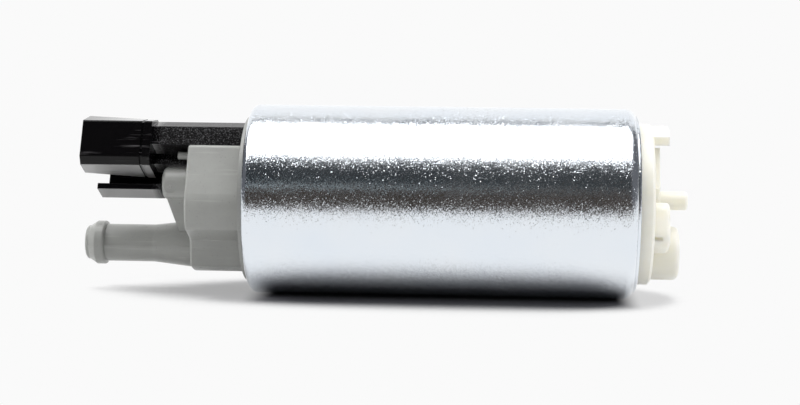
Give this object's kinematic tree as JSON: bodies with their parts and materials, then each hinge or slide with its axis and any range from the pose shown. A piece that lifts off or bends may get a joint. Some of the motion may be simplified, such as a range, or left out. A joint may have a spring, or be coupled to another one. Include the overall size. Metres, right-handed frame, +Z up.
{
  "type": "in-tank fuel pump",
  "caption": "Electric in-tank fuel pump with a zinc-plated steel can, grey outlet end with hose barb, black connector and cream inlet end.",
  "frame": {"origin": "on the can's axis, half way along the steel can", "axes": "+X along the can to the inlet end; +Z up as the pump lies on a table; -Y towards the viewer"},
  "size_m": [0.1248, 0.039, 0.039],
  "materials": {
    "zinc_steel": "bright zinc plate over drawn steel sheet",
    "grey_moulding": "grey glass-filled acetal",
    "black_moulding": "black glass-filled nylon",
    "cream_moulding": "natural acetal",
    "bright_steel": "ground steel",
    "sintered_bronze": "sintered bronze, oil filled",
    "ferrite": "hard ferrite",
    "copper": "copper, bare or enamelled",
    "tinned_brass": "tin plate over brass",
    "iron_core": "stacked sheet iron",
    "carbon": "carbon",
    "sintered_steel": "sintered steel",
    "phenolic": "phenolic moulding",
    "spring_steel": "spring wire",
    "seal_rubber": "fluorocarbon rubber"
  },
  "bodies": {
    "pump_body": {"steel_can": "zinc_steel", "inlet_cap": "cream_moulding", "outlet_cover": "grey_moulding", "connector_housing": "black_moulding", "terminal_blade_positive": "tinned_brass", "terminal_blade_negative": "tinned_brass", "inlet_bush": "sintered_bronze", "outlet_bush": "sintered_bronze", "thrust_button": "bright_steel", "wear_plate": "bright_steel", "eccentric_ring": "sintered_steel", "port_plate": "sintered_steel", "magnet_front": "ferrite", "magnet_back": "ferrite", "magnet_clip_upper": "spring_steel", "magnet_clip_lower": "spring_steel", "outlet_valve_seat": "seal_rubber", "outlet_valve_guide": "cream_moulding", "outlet_valve_spring": "spring_steel", "relief_spring": "spring_steel", "relief_plug": "tinned_brass", "brush_spring_positive": "spring_steel", "brush_spring_negative": "spring_steel", "choke_core_positive": "ferrite", "choke_core_negative": "ferrite", "choke_winding_positive": "copper", "choke_winding_negative": "copper", "inlet_seal": "seal_rubber", "outlet_seal": "seal_rubber"},
    "armature": {"armature_shaft": "bright_steel", "lamination_stack": "iron_core", "armature_windings": "copper", "commutator_base": "phenolic", "commutator_segments": "copper", "drive_coupling": "black_moulding", "inner_rotor": "sintered_steel", "thrust_washer": "phenolic"},
    "outer_rotor": {"outer_rotor": "sintered_steel"},
    "outlet_valve": {"outlet_valve_poppet": "cream_moulding"},
    "relief_ball": {"relief_ball": "bright_steel"},
    "brush_positive": {"brush_positive": "carbon"},
    "brush_negative": {"brush_negative": "carbon"}
  },
  "joints": [
    {"name": "armature_spin", "type": "hinge", "parent": "pump_body", "child": "armature", "pos_m": [0, 0, 0], "axis": [1, 0, 0], "continuous": true},
    {"name": "outer_rotor_spin", "type": "hinge", "parent": "pump_body", "child": "outer_rotor", "pos_m": [0.025, 0.00048, 0.00099], "axis": [1, 0, 0], "continuous": true},
    {"name": "outlet_valve_lift", "type": "slide", "parent": "pump_body", "child": "outlet_valve", "axis": [-1, 0, 0], "range_m": [0, 0.0018], "stiffness_N_per_m": 120, "springref_m": -0.001, "deforming": ["outlet_valve_spring"]},
    {"name": "relief_ball_lift", "type": "slide", "parent": "pump_body", "child": "relief_ball", "axis": [-1, 0, 0], "range_m": [0, 0.0012], "stiffness_N_per_m": 600, "springref_m": -0.001, "deforming": ["relief_spring"]},
    {"name": "brush_positive_lift", "type": "slide", "parent": "pump_body", "child": "brush_positive", "axis": [-1, 0, 0], "range_m": [0, 0.0018], "stiffness_N_per_m": 250, "springref_m": -0.002, "deforming": ["brush_spring_positive"]},
    {"name": "brush_negative_lift", "type": "slide", "parent": "pump_body", "child": "brush_negative", "axis": [-1, 0, 0], "range_m": [0, 0.0018], "stiffness_N_per_m": 250, "springref_m": -0.002, "deforming": ["brush_spring_negative"]}
  ],
  "couplings": [
    {"joint": "outer_rotor_spin", "follows": "armature_spin", "ratio": 0.85714}
  ]
}
